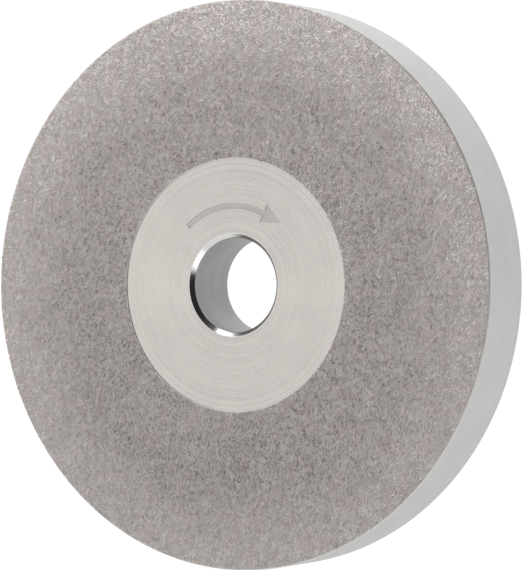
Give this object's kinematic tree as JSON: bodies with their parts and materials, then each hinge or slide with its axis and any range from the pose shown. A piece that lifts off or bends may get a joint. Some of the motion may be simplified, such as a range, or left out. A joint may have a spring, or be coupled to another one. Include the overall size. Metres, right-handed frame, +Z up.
{
  "type": "diamond grinding wheel",
  "caption": "Thick steel disc wheel for face grinding, with a broad ring of nickel-plated diamond grit on its front face, a bare turned centre and a chamfered through bore.",
  "frame": {"origin": "centre of the bore, on the wheel's axis, halfway through the steel disc", "axes": "+Y along the wheel's axis, from the coated front face to the bare back face; +Z up, through the engraved arrow above the bore"},
  "size_m": [0.1524, 0.0195, 0.1524],
  "materials": {
    "turned_steel": "satin",
    "plated_nickel": "matte",
    "diamond_crystals": "satin"
  },
  "bodies": {
    "root": {"wheel_body": "turned_steel", "nickel_bond": "plated_nickel", "diamond_grit": "diamond_crystals"}
  },
  "joints": []
}
